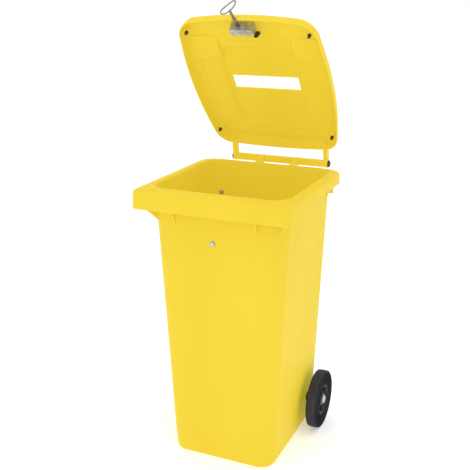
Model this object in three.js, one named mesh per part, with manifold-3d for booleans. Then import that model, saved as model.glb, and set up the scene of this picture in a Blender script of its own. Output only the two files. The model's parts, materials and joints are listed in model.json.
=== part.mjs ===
// A two-wheeled refuse bin of the 120 litre class, with a lockable lid that has a paper slot.
// Millimetres, +Z up, -Y is the front. The origin is on the ground, under the middle of the footprint.
// The lid and its lock are drawn closed and then turned open about the handle bar.
import * as THREE from "three";
import { mergeVertices } from "three/addons/utils/BufferGeometryUtils.js";
import Module from "manifold-3d";

const wasm = await Module();
wasm.setup();

// Driving dimensions
const WALL = 4; // wall of the tub
const LID_WALL = 3.5;
const GAP = 0.3; // between pieces that touch

const COLLAR_HALF = 240; // half the bin's width
const COLLAR_FRONT = -290;
const COLLAR_REAR = 200;
const COLLAR_BOTTOM = 795;
const LEDGE_Z = 847; // outer rim of the collar's top
const PLATFORM_Z = 850; // raised top inside the rim
const GROOVE_Z = 846.5; // floor of the shallow groove along the front
const CEILING_Z = 836.5; // ceiling of the channel under the collar

const BASE_HALF = 165;
const MOUTH_HALF = 206;
const BASE_FRONT = -210;
const MOUTH_FRONT = -236.6;
const TUB_REAR = 191.5;

const HINGE_Y = 276;
const HINGE_Z = 846;
const BAR_RADIUS = 12;
const BAR_HALF = 151.2;
const ARM_IN = 152;
const ARM_OUT = 164;
const WEB_X = 58;
const LID_OPEN = 53.25; // degrees from closed
const RIM_Z = 852; // lower edge of the closed lid's skirt

const WHEEL_RADIUS = 95;
const WHEEL_Y = 110;
const WHEEL_IN = 197;
const WHEEL_OUT = 229;
const AXLE_RADIUS = 10;
const RECESS_Y = 80; // the foot recess that the axle crosses starts here
const RECESS_Z = 124;

const LOCK_X = -8; // middle of the lock case
const SPINDLE = new THREE.Vector3(-21, -262.3, 862); // where the spindle leaves the case's face
const LOCK_TILT = 14.4; // degrees that the lock's face leans forward
const BOW_TURN = 51; // degrees that the key's bow is turned about its stem
const BOLT_Z = 703; // bolt of the striker
const REAR_BOLT = { z: 739.5, turn: 21 }; // on the rounded left rear corner, turned with its surface

const degrees = THREE.MathUtils.degToRad;
const point = (x, y, z) => new THREE.Vector3(x, y, z);

// ---------- solids ----------

// A closed geometry as a solid that can be joined and cut, with its faces turned outwards.
function solid(geometry) {
  const bare = new THREE.BufferGeometry();
  bare.setAttribute("position", geometry.getAttribute("position"));
  bare.setIndex(geometry.index);
  const merged = mergeVertices(bare, 1e-3);
  const vertProperties = merged.attributes.position.array;
  const triVerts = new Uint32Array(merged.index.array);
  const made = new wasm.Manifold(new wasm.Mesh({ numProp: 3, vertProperties, triVerts }));
  if (made.volume() > 0) return made;
  for (let i = 0; i < triVerts.length; i += 3) {
    [triVerts[i + 1], triVerts[i + 2]] = [triVerts[i + 2], triVerts[i + 1]];
  }
  return new wasm.Manifold(new wasm.Mesh({ numProp: 3, vertProperties, triVerts }));
}

function geometryOf(body) {
  const mesh = body.getMesh();
  const geometry = new THREE.BufferGeometry();
  geometry.setAttribute("position", new THREE.BufferAttribute(mesh.vertProperties, 3));
  geometry.setIndex(new THREE.BufferAttribute(mesh.triVerts, 1));
  geometry.computeVertexNormals();
  return geometry;
}

const join = (first, ...others) => others.reduce((sum, next) => sum.add(next), first);
const cut = (first, ...others) => others.reduce((rest, next) => rest.subtract(next), first);

function block(x0, x1, y0, y1, z0, z1) {
  const box = new THREE.BoxGeometry(x1 - x0, y1 - y0, z1 - z0);
  return solid(box.translate((x0 + x1) / 2, (y0 + y1) / 2, (z0 + z1) / 2));
}

// A round rod from one point to another.
function rod(radius, from, to, sides = 24, endRadius = radius) {
  const along = to.clone().sub(from);
  const geometry = new THREE.CylinderGeometry(endRadius, radius, along.length(), sides);
  const turn = new THREE.Quaternion().setFromUnitVectors(point(0, 1, 0), along.clone().normalize());
  geometry.applyQuaternion(turn);
  return solid(geometry.translate(...from.clone().add(to).multiplyScalar(0.5).toArray()));
}

// A side view of [y, z] points, carried across from x0 to x1.
function sideProfile(points, x0, x1) {
  const shape = new THREE.Shape(points.map(([y, z]) => new THREE.Vector2(y, z)));
  const geometry = new THREE.ExtrudeGeometry(shape, { depth: x1 - x0, bevelEnabled: false });
  geometry.applyMatrix4(new THREE.Matrix4().makeBasis(point(0, 1, 0), point(0, 0, 1), point(1, 0, 0)));
  return solid(geometry.translate(x0, 0, 0));
}

// A rear view of [x, z] points, carried back from y0 to y1.
function rearProfile(points, y0, y1) {
  const shape = new THREE.Shape(points.map(([x, z]) => new THREE.Vector2(x, z)));
  const geometry = new THREE.ExtrudeGeometry(shape, { depth: y1 - y0, bevelEnabled: false });
  geometry.applyMatrix4(new THREE.Matrix4().makeBasis(point(1, 0, 0), point(0, 0, 1), point(0, 1, 0)));
  return solid(geometry.translate(0, y0, 0));
}

// [radius, x] points turned about the wheel's axis, which runs along X.
function turned(points, sides) {
  const outline = points.map(([radius, x]) => new THREE.Vector2(radius, x));
  return solid(new THREE.LatheGeometry(outline, sides).rotateZ(-Math.PI / 2));
}

// A closed skin through rings with the same number of points, lowest ring first.
function loft(rings) {
  const count = rings[0].length;
  const points = rings.flat();
  const index = [];
  for (let level = 0; level < rings.length - 1; level++) {
    for (let i = 0; i < count; i++) {
      const a = level * count + i;
      const b = level * count + ((i + 1) % count);
      index.push(a, b, b + count, a, b + count, a + count);
    }
  }
  const top = (rings.length - 1) * count;
  for (let i = 0; i < count; i++) {
    const next = (i + 1) % count;
    index.push(points.length, next, i);
    index.push(points.length + 1, top + i, top + next);
  }
  for (const ring of [rings[0], rings.at(-1)]) {
    points.push(ring.reduce((sum, p) => sum.add(p), point(0, 0, 0)).divideScalar(count));
  }
  const geometry = new THREE.BufferGeometry().setFromPoints(points);
  return solid(geometry.setIndex(index));
}

// A ring with round corners, counter-clockwise from above. The sides run from halfFront to halfRear.
// Where the shape has bows, each edge swells outwards by its own. Inset draws the ring smaller all round.
function ring(shape, z, inset = 0) {
  const { halfFront, halfRear, front, rear, frontRadius, rearRadius } = shape;
  const { frontBow = 0, sideBow = 0, rearBow = 0 } = shape;
  const arcSteps = 5;
  const edgeSteps = sideBow ? 4 : 1;
  const points = [];
  const edge = (x0, y0, x1, y1, bowX, bowY) => {
    for (let i = 1; i < edgeSteps; i++) {
      const t = i / edgeSteps;
      const swell = 4 * t * (1 - t);
      points.push(point(x0 + (x1 - x0) * t + bowX * swell, y0 + (y1 - y0) * t + bowY * swell, z));
    }
  };
  const arc = (x, y, radius, start) => {
    for (let i = 0; i <= arcSteps; i++) {
      const angle = degrees(start + (90 * i) / arcSteps);
      points.push(point(x + radius * Math.cos(angle), y + radius * Math.sin(angle), z));
    }
  };
  const f = Math.max(frontRadius - inset, 1);
  const r = Math.max(rearRadius - inset, 1);
  const [hf, hr] = [halfFront - inset, halfRear - inset];
  const [yf, yr] = [front + inset, rear - inset];
  arc(hf - f, yf + f, f, -90);
  edge(hf, yf + f, hr, yr - r, sideBow, 0);
  arc(hr - r, yr - r, r, 0);
  edge(hr - r, yr, r - hr, yr, 0, rearBow);
  arc(r - hr, yr - r, r, 90);
  edge(-hr, yr - r, -hf, yf + f, -sideBow, 0);
  arc(f - hf, yf + f, f, 180);
  edge(f - hf, yf, hf - f, yf, 0, -frontBow);
  return points;
}

// ---------- materials ----------

const yellow = new THREE.MeshStandardMaterial({ color: 0xf2cc20, roughness: 0.42, metalness: 0 });
const rubber = new THREE.MeshStandardMaterial({ color: 0x2b2c31, roughness: 0.85, metalness: 0 });
const blackPlastic = new THREE.MeshStandardMaterial({ color: 0x17181b, roughness: 0.5, metalness: 0 });
const zinc = new THREE.MeshStandardMaterial({ color: 0xc4c6cc, roughness: 0.3, metalness: 0.95 });
const darkSteel = new THREE.MeshStandardMaterial({ color: 0x5c5a5c, roughness: 0.45, metalness: 0.9 });

function mesh(name, body, material) {
  const made = new THREE.Mesh(geometryOf(body), material);
  made.name = name;
  return made;
}

// ---------- tub ----------

// The tapered body's outline at height z.
function tubOutline(z) {
  const t = z / COLLAR_BOTTOM;
  const half = THREE.MathUtils.lerp(BASE_HALF, MOUTH_HALF, t);
  return {
    halfFront: half,
    halfRear: half,
    front: THREE.MathUtils.lerp(BASE_FRONT, MOUTH_FRONT, t),
    rear: TUB_REAR,
    frontRadius: 48 + 10 * t,
    rearRadius: 24 + 24 * t,
  };
}

const collarOutline = {
  halfFront: COLLAR_HALF,
  halfRear: COLLAR_HALF,
  front: COLLAR_FRONT,
  rear: COLLAR_REAR,
  frontRadius: 16,
  rearRadius: 30,
};

// The comb rim: an open-bottomed channel that stands out round the mouth, deeper at the front.
function collar() {
  const band = 4; // thickness of the outer band
  const ledge = 12;
  const outer = loft([
    ring(collarOutline, COLLAR_BOTTOM, 1),
    ring(collarOutline, COLLAR_BOTTOM + 2),
    ring(collarOutline, LEDGE_Z - 3, 2),
    ring(collarOutline, LEDGE_Z, 4.5),
  ]);
  const platform = loft([
    ring(collarOutline, LEDGE_Z - 2, ledge),
    ring(collarOutline, PLATFORM_Z - 1, ledge),
    ring(collarOutline, PLATFORM_Z, ledge + 1.5),
  ]);
  const channel = loft([
    ring(collarOutline, COLLAR_BOTTOM - 1, band),
    ring(collarOutline, CEILING_Z, band),
  ]);
  const groove = block(-184, 184, -277, -239, GROOVE_Z, PLATFORM_Z + 1);
  // behind the front corners the band's lower edge rises in a soft S
  const sweep = new THREE.CubicBezierCurve(
    new THREE.Vector2(-205, COLLAR_BOTTOM),
    new THREE.Vector2(-160, COLLAR_BOTTOM + 1),
    new THREE.Vector2(-130, COLLAR_BOTTOM + 20),
    new THREE.Vector2(-85, COLLAR_BOTTOM + 20),
  );
  const edge = sweep.getPoints(8).map((p) => [p.x, p.y]);
  const below = sideProfile(
    [[-205, 780], ...edge, [210, COLLAR_BOTTOM + 20], [210, 780]],
    -COLLAR_HALF - 1,
    COLLAR_HALF + 1,
  );
  return cut(join(outer, platform), channel, groove, below);
}

// Triangular stiffening ribs between the body and the collar.
function gussets() {
  const front = MOUTH_FRONT + 1;
  const ribs = [];
  const frontRib = [[front, 747], [front, CEILING_Z + 1], [-286, CEILING_Z + 1], [-286, 797], [-263, 795]];
  for (const x of [-126, 126]) {
    ribs.push(sideProfile(frontRib, x - 2.5, x + 2.5));
  }
  const reach = COLLAR_HALF - MOUTH_HALF + 2;
  const sideRib = [[0, 770], [0, CEILING_Z + 1], [reach, CEILING_Z + 1], [reach, 818], [reach - 8, 812]];
  for (const y of [-186, 130]) {
    for (const side of [-1, 1]) {
      const plate = sideProfile(sideRib, -2.5, 2.5);
      ribs.push(plate.rotate([0, 0, -90 * side]).translate([side * (MOUTH_HALF - 3), y, 0]));
    }
  }
  // diagonal ribs at the front corners, and plates with a chamfered outline at the collar's rear ends
  for (const side of [-1, 1]) {
    const cornerRib = [[0, 742], [0, CEILING_Z + 1], [62, CEILING_Z + 1], [62, 797], [36, 776]];
    const corner = sideProfile(cornerRib, -2.5, 2.5);
    ribs.push(corner.rotate([0, 0, 180 + 45 * side]).translate([side * 183, -214, 0]));
    const rearView = [[MOUTH_HALF - 14, 777], [214, 777], [216, 796], [231, 808], [236, CEILING_Z + 1]];
    const outline = [...rearView, [MOUTH_HALF - 14, CEILING_Z + 1]].map(([x, z]) => [side * x, z]);
    ribs.push(rearProfile(outline, 172, 176));
  }
  return ribs;
}

// The handle bar on its two webs, with a blind bore in each end for a hinge pin.
function handle() {
  const bar = rod(BAR_RADIUS, point(-BAR_HALF, HINGE_Y, HINGE_Z), point(BAR_HALF, HINGE_Y, HINGE_Z), 32);
  const webSide = [
    [TUB_REAR - 1, 770],
    [HINGE_Y + 4, HINGE_Z - BAR_RADIUS + 1],
    [HINGE_Y + 4, HINGE_Z + BAR_RADIUS - 1],
    [TUB_REAR - 1, LEDGE_Z - 1],
  ];
  const webs = [-WEB_X, WEB_X].map((x) => sideProfile(webSide, x - 3, x + 3));
  const collars = [-WEB_X, WEB_X].map((x) =>
    rod(BAR_RADIUS + 1.5, point(x - 3, HINGE_Y, HINGE_Z), point(x + 3, HINGE_Y, HINGE_Z), 32),
  );
  const bores = [-1, 1].map((side) =>
    rod(7, point(side * 108, HINGE_Y, HINGE_Z), point(side * (BAR_HALF + 1), HINGE_Y, HINGE_Z)),
  );
  return cut(join(bar, ...webs, ...collars), ...bores);
}

// Two pairs of bearing plates hang in the foot recess and carry the axle.
function axlePlates() {
  return [-140, -60, 60, 140].map((x) =>
    block(x - 4, x + 4, RECESS_Y + 2, WHEEL_Y + 28, 72, RECESS_Z + 2),
  );
}

function tub() {
  const outer = loft([
    ring(tubOutline(0), 0, 3),
    ring(tubOutline(5), 5, 1.5),
    ring(tubOutline(38), 38, 1.5),
    ring(tubOutline(42), 42),
    ring(tubOutline(COLLAR_BOTTOM), COLLAR_BOTTOM),
    ring(tubOutline(PLATFORM_Z), PLATFORM_Z - 1),
    ring(tubOutline(PLATFORM_Z), PLATFORM_Z, 1),
  ]);
  const floor = 7;
  const cavity = loft([
    ring(tubOutline(floor), floor, WALL + 6),
    ring(tubOutline(floor + 8), floor + 8, WALL + 1),
    ring(tubOutline(COLLAR_BOTTOM), COLLAR_BOTTOM, WALL),
    ring(tubOutline(PLATFORM_Z), PLATFORM_Z - 5, WALL),
    ring(tubOutline(PLATFORM_Z), PLATFORM_Z + 1, WALL - 2.5),
  ]);
  // over the foot recess the floor steps up
  const step = block(-BASE_HALF - 20, BASE_HALF + 20, RECESS_Y - WALL, TUB_REAR + 20, -1, RECESS_Z + WALL);
  const skirtIn = BASE_HALF - 8;
  const recess = block(-skirtIn, skirtIn, RECESS_Y, TUB_REAR + 20, -1, RECESS_Z);
  // behind the axle the side skirts are round, so that the bin tips back on its wheels
  const axis = (x) => point(x, WHEEL_Y, WHEEL_RADIUS);
  const heel = cut(
    block(-BASE_HALF - 20, BASE_HALF + 20, WHEEL_Y, TUB_REAR + 20, -1, WHEEL_RADIUS),
    rod(WHEEL_RADIUS - 3, axis(-BASE_HALF - 30), axis(BASE_HALF + 30), 48),
  );
  const axleHole = rod(AXLE_RADIUS + 0.4, axis(-200), axis(200), 32);
  const frontHole = rod(4.6, point(LOCK_X, -250, BOLT_Z), point(LOCK_X, -210, BOLT_Z));
  const { centre, along, radius } = rearBoltAxis();
  const onAxis = (distance) => centre.clone().addScaledVector(along, distance);
  const rearHole = rod(4.6, onAxis(radius - 20), onAxis(radius + 10));
  const shell = cut(join(outer, collar(), ...gussets(), handle()), cut(cavity, step), recess, heel);
  return cut(join(shell, ...axlePlates()), axleHole, frontHole, rearHole);
}

// ---------- bolts through the tub ----------

// The rear bolt's line: out from the middle of the rounded corner, square to the wall.
function rearBoltAxis() {
  const { halfRear, rear, rearRadius } = tubOutline(REAR_BOLT.z);
  const turn = degrees(REAR_BOLT.turn);
  return {
    centre: point(rearRadius - halfRear, rear - rearRadius, REAR_BOLT.z),
    along: point(-Math.sin(turn), Math.cos(turn), 0),
    radius: rearRadius,
  };
}

// A domed bolt, its washer and its nut. The head sits at the start, and the washer comes after the wall.
function boltSet(name, start, along, plate) {
  const at = (distance) => start.clone().addScaledVector(along, distance);
  const dome = rod(8, at(-GAP), at(-2.2), 20).add(rod(8, at(-2), at(-4.5), 20, 4));
  const shank = rod(4, at(-1), at(plate + 12));
  const washer = cut(rod(9, at(plate), at(plate + 1.5)), rod(4.4, at(plate - 1), at(plate + 3)));
  const nut = cut(rod(7.5, at(plate + 1.8), at(plate + 8), 6), rod(4.3, at(plate), at(plate + 9)));
  return [
    mesh(name + "_bolt", dome.add(shank), zinc),
    mesh(name + "_washer", washer, zinc),
    mesh(name + "_nut", nut, zinc),
  ];
}

// The steel strap inside the front wall, with the tab that the lock's cam hooks under.
function striker() {
  const inside = (z) => tubOutline(z).front + WALL + GAP + 0.4;
  const [low, high] = [BOLT_Z - 16, 838];
  const sheet = 3;
  const strap = sideProfile(
    [[inside(low), low], [inside(low) + sheet, low], [inside(high) + sheet, high], [inside(high), high]],
    SPINDLE.x - 22,
    LOCK_X + 12,
  );
  const tab = block(SPINDLE.x - 22, SPINDLE.x - 8.5, inside(high) + 1, -213, high - sheet, high);
  const hole = rod(4.6, point(LOCK_X, -250, BOLT_Z), point(LOCK_X, -200, BOLT_Z));
  return cut(strap.add(tab), hole);
}

// ---------- wheels and axle ----------

// One wheel's pieces, drawn on the +X side and mirrored for the other.
function wheelSet(side, label) {
  const middle = (WHEEL_IN + WHEEL_OUT) / 2;
  const half = (WHEEL_OUT - WHEEL_IN) / 2;
  const bore = 47;
  const tread = WHEEL_RADIUS - 1;
  const shoulder = WHEEL_RADIUS - 4;
  const tyre = turned(
    [
      [bore, -half + 1], [bore, half - 1], [shoulder, half], [tread, half - 3], [WHEEL_RADIUS, 0],
      [tread, -half + 3], [shoulder, -half], [bore, -half + 1],
    ],
    48,
  );
  // rim, thin web and hub barrel in one moulding
  const rim = bore - GAP;
  const web = 2.5;
  let wheel = turned(
    [
      [14.5, -half + 1], [20, -half + 1], [20, -web], [rim - 5, -web], [rim - 5, -half + 2],
      [rim, -half + 2], [rim, half - 2], [rim - 5, half - 2], [rim - 5, web], [20, web], [20, half - 4],
      [14.5, half - 4], [14.5, -half + 1],
    ],
    32,
  );
  for (let i = 0; i < 6; i++) {
    wheel = wheel.add(block(-half + 4, half - 5, -2, 2, 17, rim - 3).rotate([60 * i, 0, 0]));
  }
  const bush = cut(
    rod(14.2, point(-half + 1, 0, 0), point(half - 4, 0, 0), 32),
    rod(AXLE_RADIUS + 0.2, point(-half, 0, 0), point(half, 0, 0), 32),
  );
  const spacer = cut(
    rod(15, point(-middle + 172, 0, 0), point(-half + 0.4, 0, 0), 32),
    rod(AXLE_RADIUS + 0.3, point(-60, 0, 0), point(0, 0, 0), 32),
  );
  const cap = cut(
    rod(14, point(half - 3.6, 0, 0), point(half + 1, 0, 0), 24).add(
      rod(13, point(half, 0, 0), point(half + 4, 0, 0), 24, 8),
    ),
    rod(AXLE_RADIUS + 0.3, point(half - 5, 0, 0), point(half - 0.4, 0, 0), 32),
  );
  const place = (name, body, material) => {
    const mirrored = side < 0 ? body.mirror([1, 0, 0]) : body;
    const made = mesh(name + "_" + label, mirrored, material);
    made.position.set(side * middle, WHEEL_Y, WHEEL_RADIUS);
    return made;
  };
  return [
    place("tyre", tyre, rubber),
    place("wheel", wheel, blackPlastic),
    place("hub_bush", bush, blackPlastic),
    place("axle_spacer", spacer, blackPlastic),
    place("hub_cap", cap, zinc),
  ];
}

function axle() {
  const half = WHEEL_OUT - 0.8;
  const body = rod(AXLE_RADIUS, point(-half, WHEEL_Y, WHEEL_RADIUS), point(half, WHEEL_Y, WHEEL_RADIUS), 32);
  return mesh("axle", body, zinc);
}

function hingePin(side, label) {
  const along = (x) => point(side * x, HINGE_Y, HINGE_Z);
  const head = rod(11, along(ARM_OUT + 0.5), along(ARM_OUT + 6), 24, 9);
  return mesh("hinge_pin_" + label, rod(6.6, along(112), along(ARM_OUT + 2), 24).add(head), blackPlastic);
}

// ---------- lid, drawn closed ----------

const lidOutline = {
  halfFront: 214,
  halfRear: 209,
  front: -282,
  rear: 218,
  frontRadius: 68,
  rearRadius: 55,
  frontBow: 10,
  sideBow: 15,
  rearBow: 6,
};
const stepOutline = {
  halfFront: 190,
  halfRear: 183,
  front: -213,
  rear: 182,
  frontRadius: 46,
  rearRadius: 46,
  frontBow: 5,
  sideBow: 8,
  rearBow: 4,
};
const panelOutline = {
  halfFront: 121,
  halfRear: 119,
  front: -154,
  rear: 152,
  frontRadius: 34,
  rearRadius: 40,
  frontBow: 1,
  sideBow: 2,
  rearBow: 1,
};

const bufferPlaces = [[-188, -236], [188, -236], [-191, 164], [191, 164]];
const rivetPlaces = [[LOCK_X - 25, -246], [LOCK_X + 25, -246]];

// The lid's skin. Thickness 0 is the outer face and the wall's thickness gives the inner one.
function lidSkin(thickness) {
  const levels = [
    [lidOutline, RIM_Z - (thickness ? 1 : 0), 0],
    [lidOutline, 866, 1],
    [lidOutline, 877, 2.5],
    [lidOutline, 883, 7],
    [lidOutline, 885.5, 15],
    [stepOutline, 886, 0],
    [stepOutline, 890, 5],
    [panelOutline, 892, -8],
    [panelOutline, 902, 0],
  ];
  const rings = levels.map(([outline, z, inset], level) => {
    const drop = level === 0 ? 0 : thickness;
    return ring(outline, z - drop, inset + thickness);
  });
  // the panel leans up towards the front
  for (const level of [7, 8]) {
    for (const p of rings[level]) {
      p.z -= p.y * (level === 8 ? 0.01 : 0.02);
    }
  }
  return loft(rings);
}

function lid() {
  const slot = block(-107, 107, -41, 10, 880, 920);
  const armSide = [[204, 862], [204, 880], [226, 879], [283, 857], [268, 836], [222, 860]];
  const arms = [-1, 1].map((side) => {
    const [x0, x1] = side < 0 ? [-ARM_OUT, -ARM_IN] : [ARM_IN, ARM_OUT];
    const eye = rod(13, point(x0, HINGE_Y, HINGE_Z), point(x1, HINGE_Y, HINGE_Z), 32);
    return sideProfile(armSide, x0, x1).add(eye);
  });
  const eyes = rod(7, point(-200, HINGE_Y, HINGE_Z), point(200, HINGE_Y, HINGE_Z));
  const keyNotch = block(SPINDLE.x - 8, SPINDLE.x + 8, -300, -276, RIM_Z - 2, 867);
  const bosses = [
    ...bufferPlaces.map(([x, y]) => rod(7, point(x, y, 862), point(x, y, 884), 12, 9)),
    ...rivetPlaces.map(([x, y]) => rod(6, point(x, y, 876), point(x, y, 884), 12)),
  ];
  const bufferHoles = bufferPlaces.map(([x, y]) => rod(2.9, point(x, y, 860), point(x, y, 874), 12));
  const rivetHoles = rivetPlaces.map(([x, y]) => rod(2.9, point(x, y, 870), point(x, y, 890), 12));
  const shell = cut(lidSkin(0), lidSkin(LID_WALL));
  const solidLid = join(shell, ...arms, ...bosses.map((boss) => boss.intersect(lidSkin(0))));
  return cut(solidLid, slot, eyes, keyNotch, ...bufferHoles, ...rivetHoles);
}

// Rubber buffers that cushion the lid on the collar.
const bufferNames = ["front_left", "front_right", "rear_left", "rear_right"];

function buffers() {
  return bufferPlaces.map(([x, y], i) => {
    const head = rod(4.5, point(x, y, PLATFORM_Z + 0.8), point(x, y, 861.7), 12, 5.5);
    const stem = rod(2.5, point(x, y, 861), point(x, y, 872), 12);
    return mesh("lid_buffer_" + bufferNames[i], head.add(stem), rubber);
  });
}

// ---------- lock ----------

const caseHalf = 35;
const caseRear = -235.5;

// A pressed box, open at the back, whose face leans with the spindle.
function lockCase() {
  const sheet = 1.5;
  const outer = sideProfile(
    [[-266, 875.6], [-258, 844.5], [caseRear, 852.5], [caseRear, 875.6]],
    LOCK_X - caseHalf,
    LOCK_X + caseHalf,
  );
  const inner = sideProfile(
    [[-264.1, 875.6 - sheet], [-256.9, 846.5], [caseRear + 1, 854.6], [caseRear + 1, 875.6 - sheet]],
    LOCK_X - caseHalf + sheet,
    LOCK_X + caseHalf - sheet,
  );
  const rivetHoles = rivetPlaces.map(([x, y]) => rod(2.9, point(x, y, 870), point(x, y, 880), 12));
  return cut(outer, inner, alongSpindle(5.4, -3, 6), ...rivetHoles);
}

// A rod about the spindle's axis; distances count inwards from the case's face.
function alongSpindle(radius, from, to, sides = 24) {
  const inwards = point(0, Math.cos(degrees(LOCK_TILT)), Math.sin(degrees(LOCK_TILT)));
  const at = (distance) => SPINDLE.clone().addScaledVector(inwards, distance);
  return rod(radius, at(from), at(to), sides);
}

function lockBackPlate() {
  const [near, far] = [caseRear + GAP, caseRear + GAP + 1.5];
  const plate = block(LOCK_X - caseHalf, LOCK_X + caseHalf, near, far, 852.8, 875.3);
  return cut(plate, alongSpindle(5.4, 20, 40));
}

// Rivets hold the case up against the lid's roof.
function lockRivets() {
  return rivetPlaces.map(([x, y], i) => {
    const head = rod(5.5, point(x, y, 886.2), point(x, y, 888.2), 12, 4);
    const shank = rod(2.5, point(x, y, 872.4), point(x, y, 887), 12);
    const tail = rod(4.2, point(x, y, 871.4), point(x, y, 873.7), 12);
    return mesh("lock_rivet_" + ["left", "right"][i], join(head, shank, tail), zinc);
  });
}

// The spindle ends in a three-cornered pin at the front and a stud for the cam at the back.
function lockSpindle() {
  return join(alongSpindle(4.2, -11, 1, 3), alongSpindle(5, -0.6, 32), alongSpindle(3.8, 31, 41));
}

// A flat piece in the plane across the spindle, from [x, z] points measured from its axis.
function acrossSpindle(points, from, to) {
  const shape = new THREE.Shape(points.map(([x, z]) => new THREE.Vector2(x, z)));
  const geometry = new THREE.ExtrudeGeometry(shape, { depth: to - from, bevelEnabled: false });
  geometry.rotateX(Math.PI / 2).translate(0, to, 0);
  geometry.rotateX(degrees(LOCK_TILT));
  return solid(geometry.translate(SPINDLE.x, SPINDLE.y, SPINDLE.z));
}

// The hooked cam. Unlocked it points sideways, and a quarter turn brings its foot under the
// striker's tab.
function lockCam() {
  const boss = [[-5, -7], [-7, -5], [-7, 4], [-4.5, 6.5]];
  const arm = [[56, 6.5], [60, 0], [54, -14], [45, -14], [38, -7]];
  const outline = [...boss, ...arm];
  return cut(acrossSpindle(outline, 32.4, 35.4), alongSpindle(4.1, 30, 37));
}

function lockCamNut() {
  return cut(alongSpindle(6.6, 35.8, 40.2, 6), alongSpindle(4.1, 34, 42));
}

// The key: a socket tube with a loop of wire across its end.
function key() {
  const wire = 1.7;
  const reach = 66;
  const bow = new THREE.Shape();
  bow.moveTo(-24, -21);
  bow.quadraticCurveTo(-29, -14, -22, -8);
  bow.quadraticCurveTo(-10, 0, 0, 0);
  bow.quadraticCurveTo(10, 0, 22, -8);
  bow.quadraticCurveTo(29, -14, 24, -21);
  bow.quadraticCurveTo(20, -24, 12, -24);
  bow.lineTo(-12, -24);
  bow.quadraticCurveTo(-20, -24, -24, -21);
  const loop = wireLoop(bow.getPoints(3), wire);
  // the bow lies across the stem, turned half way between level and upright
  loop.rotateY(degrees(-BOW_TURN));
  loop.translate(0, -reach, 0);
  loop.rotateX(degrees(LOCK_TILT));
  const bowSolid = solid(loop.translate(SPINDLE.x, SPINDLE.y, SPINDLE.z));
  const stem = join(alongSpindle(6.2, -24, -1, 24), alongSpindle(4.2, -reach - 1, -22, 20));
  const socket = alongSpindle(4.7, -14, 0);
  return cut(stem.add(bowSolid), socket);
}

// A closed wire through points of the XY plane, as rings swept round the path.
function wireLoop(points, radius) {
  const path = points.slice(0, -1).map((p) => point(p.x, p.y, 0));
  const sides = 8;
  const vertices = [];
  const index = [];
  path.forEach((here, i) => {
    const next = path[(i + 1) % path.length];
    const last = path.at(i - 1);
    const along = next.clone().sub(last).normalize();
    const across = point(along.y, -along.x, 0);
    for (let j = 0; j < sides; j++) {
      const angle = (2 * Math.PI * j) / sides;
      const offset = across.clone().multiplyScalar(radius * Math.cos(angle));
      vertices.push(here.clone().add(offset).add(point(0, 0, radius * Math.sin(angle))));
      const a = i * sides + j;
      const b = i * sides + ((j + 1) % sides);
      const step = (((i + 1) % path.length) - i) * sides;
      index.push(a, b, b + step, a, b + step, a + step);
    }
  });
  return new THREE.BufferGeometry().setFromPoints(vertices).setIndex(index);
}

// ---------- the bin ----------

const group = new THREE.Group();
group.add(mesh("tub", tub(), yellow));
group.add(mesh("striker", striker(), zinc));
const frontStart = point(LOCK_X, tubOutline(BOLT_Z).front - 0.4, BOLT_Z);
group.add(...boltSet("front", frontStart, point(0, 1, 0), WALL + 4.6));
const { centre, along, radius } = rearBoltAxis();
const rearStart = centre.clone().addScaledVector(along, radius - WALL - 1);
group.add(...boltSet("rear", rearStart, along, WALL + 1.4));
group.add(axle());
for (const [side, label] of [[1, "right"], [-1, "left"]]) {
  group.add(...wheelSet(side, label));
  group.add(hingePin(side, label));
}

const lidPivot = new THREE.Group();
lidPivot.position.set(0, HINGE_Y, HINGE_Z);
lidPivot.rotation.x = -degrees(LID_OPEN);
const lidPieces = new THREE.Group();
lidPieces.position.set(0, -HINGE_Y, -HINGE_Z);
lidPieces.add(mesh("lid", lid(), yellow));
lidPieces.add(...buffers());
lidPieces.add(mesh("lock_case", lockCase(), zinc));
lidPieces.add(mesh("lock_back_plate", lockBackPlate(), zinc));
lidPieces.add(...lockRivets());
lidPieces.add(mesh("lock_spindle", lockSpindle(), darkSteel));
lidPieces.add(mesh("lock_cam", lockCam(), darkSteel));
lidPieces.add(mesh("lock_cam_nut", lockCamNut(), zinc));
lidPieces.add(mesh("key", key(), zinc));
lidPivot.add(lidPieces);
group.add(lidPivot);

export default group;
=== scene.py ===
import json
import math
from dataclasses import dataclass

import bmesh
import bpy
from mathutils import Matrix, Vector


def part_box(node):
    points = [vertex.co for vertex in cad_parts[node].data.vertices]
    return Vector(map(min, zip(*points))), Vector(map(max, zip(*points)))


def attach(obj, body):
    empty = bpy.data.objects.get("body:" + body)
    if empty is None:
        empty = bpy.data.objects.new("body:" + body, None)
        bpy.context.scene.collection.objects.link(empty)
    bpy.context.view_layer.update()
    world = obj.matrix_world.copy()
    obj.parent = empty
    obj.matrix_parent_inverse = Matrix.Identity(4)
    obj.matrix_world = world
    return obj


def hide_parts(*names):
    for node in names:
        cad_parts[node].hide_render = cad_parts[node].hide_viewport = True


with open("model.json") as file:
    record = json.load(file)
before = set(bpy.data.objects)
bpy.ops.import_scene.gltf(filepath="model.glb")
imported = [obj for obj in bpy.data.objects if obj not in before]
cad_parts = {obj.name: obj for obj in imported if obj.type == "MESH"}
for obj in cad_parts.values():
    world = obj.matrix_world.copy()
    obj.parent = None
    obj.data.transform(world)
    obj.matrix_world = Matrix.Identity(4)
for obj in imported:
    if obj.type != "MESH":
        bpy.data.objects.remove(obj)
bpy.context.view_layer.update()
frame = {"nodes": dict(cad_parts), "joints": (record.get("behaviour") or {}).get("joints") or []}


# ------------------------------------------------------------------ camera
# A 61 mm lens at standing height, in front of the bin and to its right, looking a little down on it.

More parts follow.
